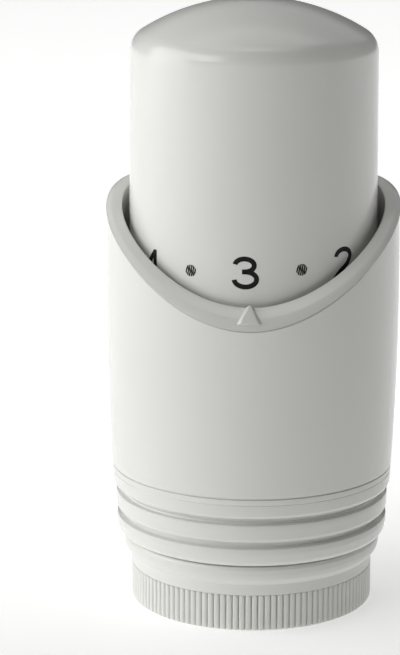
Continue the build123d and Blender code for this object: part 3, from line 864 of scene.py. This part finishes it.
    def frost(self) -> bpy.types.Object:
        """Six-armed star of the frost setting, with two barbs on each arm."""
        verts: list[Point3] = []
        faces: list[tuple[int, ...]] = []
        for arm in range(6):
            a = math.radians(60 * arm + 90)
            along = (math.cos(a), math.sin(a))
            root = (self.barb_root * along[0], self.barb_root * along[1])
            lines = [((self.star_hub * along[0], self.star_hub * along[1]),
                      (self.star_arm * along[0], self.star_arm * along[1]))]
            for lean in (-self.barb_lean, self.barb_lean):
                lines.append((root, (root[0] + self.barb * math.cos(a + lean),
                                     root[1] + self.barb * math.sin(a + lean))))
            for (x0, y0), (x1, y1) in lines:
                shares = [k / self.star_rows for k in range(self.star_rows + 1)]
                path = [(x0 + (x1 - x0) * t, y0 + (y1 - y0) * t) for t in shares]
                self.ribbon(verts, faces, path, self.star_stroke, self.frost_value)
        return new_piece("scale_frost_star", verts, faces)

    def build(self) -> list[bpy.types.Object]:
        """Prints the whole scale on the cap body."""
        pieces = [self.glyph(n) for n in range(6)]
        dots = self.dot_cell()
        drop = self.lead * self.pitch_deg / 360
        repeat_round(dots, PRINT_INK, self.dot_copies, self.pitch_deg, drop, Repeat.SEPARATE)
        pieces += [dots, self.frost()]
        for piece in pieces:
            self.thicken(piece)
            finish_mesh(piece, PRINT_INK, sharp_deg=50)
            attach(piece, "cap")
        return pieces


# ---------------------------------------------------------------- the union nut
@dataclass
class UnionNut:
    """Knurled nut with a rounded collar, made of one flute repeated round the axis."""

    flutes: int = 120
    crest: float = 18.7
    depth: float = 0.5
    flute_top: float = 5.62
    tip_height: float = 0.45
    tip_least: float = 0.05
    slot_share: float = 0.66
    slot_power: float = 0.9
    line_depth: float = 0.12
    foot_chamfer: float = 0.42
    foot_step: float = 0.12
    slices: int = 12
    thread_minor: float = 14.19
    thread_root: float = 15.05
    thread_pitch: float = 1.5
    thread_from: float = 0.95
    thread_turns: float = 3.75
    thread_step_deg: float = 6.0

    def groove(self, share: float, z: float) -> float:
        """How far the knurl cuts in, at a share of the pitch and a height."""
        across = abs(share - 0.5) * 2
        end = min(1.0, max(0.0, (self.flute_top - z) / self.tip_height))
        tip = math.sqrt(max(0.0, 1 - (1 - end) ** 2))
        into_slot = 1 - min(1.0, across / self.slot_share)
        ridge = math.sqrt(max(0.0, 1 - (into_slot / max(tip, self.tip_least)) ** 2))
        depth = self.line_depth + (self.depth - self.line_depth) * tip
        return depth * (1 - ridge) ** self.slot_power

    def cell_profile(self, share: float) -> list[Point]:
        """Closed profile of the nut at a share of one flute pitch."""
        heights = [0.0, 0.1, 0.25, 0.45, 1.2, 2.2, 3.2, 4.2, 4.9, 5.1, 5.2, 5.28, 5.36, 5.43, 5.49, 5.54,
                   5.58, 5.61]
        outline: list[Point] = []
        for z in heights:
            chamfer = max(0.0, self.foot_chamfer - z) ** 2 / self.foot_chamfer
            step = self.foot_step if z == 0 else 0.0
            outline.append((self.crest - (chamfer + step) - self.groove(share, z), z))
        above = self.flute_top
        outline += [(self.crest - self.line_depth, above + 0.02), (self.crest - 0.02, above + 0.12)]
        upper = rounded([(self.crest, 5.9, 0), (self.crest, 7.4, 0.3), (19.3, 7.85, 0.5), (19.68, 8.4, 0.6),
                         (19.83, 9.1, 0.6), (19.84, 9.95, 0.3), (19.62, 10.4, 0.3), (18.6, 10.5, 0)], 3)
        inner = [(13.28, 10.5), (13.28, 8.8), (14.9, 8.8), (14.9, 7.55), (self.thread_root + 0.1, 7.3),
                 (self.thread_root, 7.2), (self.thread_root, 0.7), (15.3, 0.3), (15.5, 0.0)]
        return outline + upper + inner

    def build(self) -> list[bpy.types.Object]:
        """Builds the nut body and its inner thread, on the nut body."""
        pitch = 2 * math.pi / self.flutes
        verts: list[Point3] = []
        faces: list[tuple[int, ...]] = []
        size = len(self.cell_profile(0))
        for k in range(self.slices + 1):
            share = k / self.slices
            verts += swung(self.cell_profile(share % 1), pitch * share)
        for k in range(self.slices):
            for i in range(size):
                n = (i + 1) % size
                faces.append((k * size + i, (k + 1) * size + i, (k + 1) * size + n, k * size + n))
        nut = new_piece("union_nut_body", verts, faces)
        repeat_round(nut, NUT_ABS, self.flutes, 360 / self.flutes, 0.0, Repeat.WELDED)
        finish_mesh(nut, NUT_ABS, sharp_deg=60)
        thread = self.thread()
        for piece in (nut, thread):
            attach(piece, "nut")
        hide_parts("union_nut")
        return [nut, thread]

    def thread(self) -> bpy.types.Object:
        """One short length of thread, repeated along the helix and closed at both ends."""
        step = self.thread_step_deg
        copies = round(self.thread_turns * 360 / step)
        rise = self.thread_pitch * step / 360
        minor, root, buried = self.thread_minor, self.thread_root, self.thread_root + 0.25
        section = [(buried, -0.72), (root, -0.66), (minor + 0.03, -0.13), (minor, 0.0),
                   (minor + 0.03, 0.13), (root, 0.66), (buried, 0.72)]
        low = self.thread_from - section[0][1]
        verts: list[Point3] = []
        for k in range(2):
            verts += swung(section, math.radians(step * k), low + rise * k)
        size = len(section)
        faces = [(i, (i + 1) % size, size + (i + 1) % size, size + i) for i in range(size)]
        thread = new_piece("union_nut_thread", verts, faces)
        repeat_round(thread, NUT_ABS, copies, step, rise, Repeat.WELDED)
        work = bmesh.new()
        work.from_mesh(thread.data)
        bmesh.ops.remove_doubles(work, verts=work.verts, dist=SEAM)
        bmesh.ops.holes_fill(work, edges=[e for e in work.edges if len(e.link_faces) == 1], sides=0)
        work.to_mesh(thread.data)
        work.free()
        finish_mesh(thread, NUT_ABS, sharp_deg=50)
        return thread


# ---------------------------------------------------------------- inner pieces
@dataclass
class InnerWorks:
    """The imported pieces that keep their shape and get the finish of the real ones."""

    finishes: dict[str, Finish] = field(default_factory=lambda: {
        "base_body": NATURAL_ACETAL, "threaded_carrier": NATURAL_ACETAL, "stop_ring": GLASS_NYLON,
        "sensor_holder": GLASS_NYLON, "spring_cover": GLASS_NYLON, "plunger": GLASS_NYLON,
        "nut_snap_ring": SPRING_STEEL, "slip_washer": SPRING_STEEL, "holder_circlip": SPRING_STEEL,
        "overload_spring": SPRING_STEEL, "spring_washer": SPRING_STEEL, "sensor_can": DRAWN_ALUMINIUM,
        "sensor_end_plate": TURNED_BRASS, "guide_bush": TURNED_BRASS, "push_rod": TURNED_BRASS,
        "sensor_bellows": FORMED_TOMBAC, "bellows_crown": FORMED_TOMBAC, "filling_stub": DRAWN_COPPER,
        "friction_ring": NITRILE, "outer_sleeve": MOULDED_ABS, "hand_cap": MOULDED_ABS, "union_nut": NUT_ABS})

    def dress(self) -> None:
        """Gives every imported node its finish."""
        for node, finish in self.finishes.items():
            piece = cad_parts[node]
            material = finish.build()
            if not piece.material_slots:
                piece.data.materials.append(material)
            for held in piece.material_slots:
                held.material = material


# ---------------------------------------------------------------- the studio
class SoftBox(NamedTuple):
    """One soft light: place and size in metres, power in watts, and the point it faces."""

    at: Point3
    size: Point
    watts: float
    aim: Point3 = (0, 0, 0.05)


@dataclass
class Studio:
    """Pale floor, soft light and the camera."""

    camera_at: Point3 = (0.00907, -0.4, 0.1399)
    tilt_deg: float = 79.433
    pan_deg: float = 1.3
    roll_deg: float = 0.362
    lens: float = 146.2
    shift: Point = (-0.0818, -0.2205)
    # Emission strengths of the painted glow on the floor: the front value, and what is added behind the
    # object.
    floor_glow: float = 0.33
    backdrop_glow: float = 0.3
    boxes: dict[str, SoftBox] = field(default_factory=lambda: {
        "left_soft_box": SoftBox((-0.75, -0.05, 0.3), (0.7, 0.6), 3.35),
        "left_front_soft_box": SoftBox((-0.7, -0.7, 0.5), (0.5, 0.5), 2.35),
        "right_soft_box": SoftBox((0.8, 0.25, 0.3), (0.5, 0.7), 0.22),
        "right_back_soft_box": SoftBox((0.6, 0.8, 0.4), (0.7, 0.7), 0.15),
        "overhead_soft_box": SoftBox((0, -0.22, 0.95), (0.4, 0.3), 0.35),
        "top_soft_box": SoftBox((0, 0.1, 1.2), (1.2, 1.2), 3.4),
        "backdrop_soft_box": SoftBox((0, 1.3, 1.1), (2.5, 1.5), 4.0, aim=(0, 0.9, 0))})

    def camera(self) -> None:
        """Sets the camera."""
        data = bpy.data.cameras.new("studio_camera")
        data.lens = self.lens
        data.sensor_width = 36.0
        data.shift_x, data.shift_y = self.shift
        data.clip_end = 50.0
        camera = bpy.data.objects.new("studio_camera", data)
        pan = Matrix.Rotation(math.radians(self.pan_deg), 4, "Z")
        tilt = Matrix.Rotation(math.radians(self.tilt_deg), 4, "X")
        aim = pan @ tilt @ Matrix.Rotation(math.radians(self.roll_deg), 4, "Z")
        camera.matrix_world = Matrix.Translation(self.camera_at) @ aim
        bpy.context.scene.collection.objects.link(camera)
        bpy.context.scene.camera = camera

    def floor(self) -> None:
        """Lays a wide pale paper floor with painted glow: it gives off light of its own, more behind the
        object than in front.
        """
        corners = [(-4000, -2500, 0), (4000, -2500, 0), (4000, 6000, 0), (-4000, 6000, 0)]
        floor = new_piece("studio_floor", corners, [(0, 1, 2, 3)])
        # Paper colour; the painted glow is added to this material below.
        paper = Finish("white_paper_painted_glow", "#F4F4F3", "#F2F2F1", roughness=0.7, grain_mm=3,
                       grain_height_mm=0.01)
        material = paper.build()
        floor.data.materials.append(material)
        tree = material.node_tree
        place = next(n for n in tree.nodes if n.type == "TEX_COORD")
        depth = add_node(tree, "ShaderNodeSeparateXYZ", {0: place.outputs["Object"]})
        # Painted glow: the floor emits light of its own, weaker in front and stronger behind the object.
        glow = add_node(tree, "ShaderNodeMapRange", {
            "Value": depth.outputs["Y"], "From Min": -0.06, "From Max": 0.12,
            "To Min": self.floor_glow, "To Max": self.floor_glow + self.backdrop_glow})
        shader = next(n for n in tree.nodes if n.type == "BSDF_PRINCIPLED")
        shader.inputs["Emission Color"].default_value = linear("#FFFFFF")
        tree.links.new(glow.outputs["Result"], shader.inputs["Emission Strength"])

    def lamp(self, name: str, box: SoftBox) -> None:
        """Adds one soft box.

        Args:
            name: the light's name.
            box: its place, size, power and aim.
        """
        data = bpy.data.lights.new(name, "AREA")
        data.shape = "RECTANGLE"
        data.size, data.size_y = box.size
        data.energy = box.watts
        light = bpy.data.objects.new(name, data)
        light.location = box.at
        light.rotation_euler = (Vector(box.aim) - Vector(box.at)).to_track_quat("-Z", "Y").to_euler()
        bpy.context.scene.collection.objects.link(light)

    def build(self) -> None:
        """Builds camera, floor, lights and the surrounding air."""
        self.camera()
        self.floor()
        world = bpy.data.worlds.new("studio_air")
        world.use_nodes = True
        back = next(n for n in world.node_tree.nodes if n.type == "BACKGROUND")
        back.inputs["Color"].default_value = linear("#F2F3F2")
        back.inputs["Strength"].default_value = 0.03
        bpy.context.scene.world = world
        bpy.context.scene.view_settings.view_transform = "Standard"
        for name, box in self.boxes.items():
            self.lamp(name, box)


def main() -> None:
    """Builds every sub-assembly in order and reports its pieces."""
    logging.basicConfig(level=logging.INFO)
    Studio().build()
    InnerWorks().dress()
    for assembly in (OuterSleeve(), HandCap(), Scale(), UnionNut()):
        for piece in assembly.build():
            LOG.info("%s: %d faces", piece.name, len(piece.data.polygons))


if __name__ == "__main__":
    main()
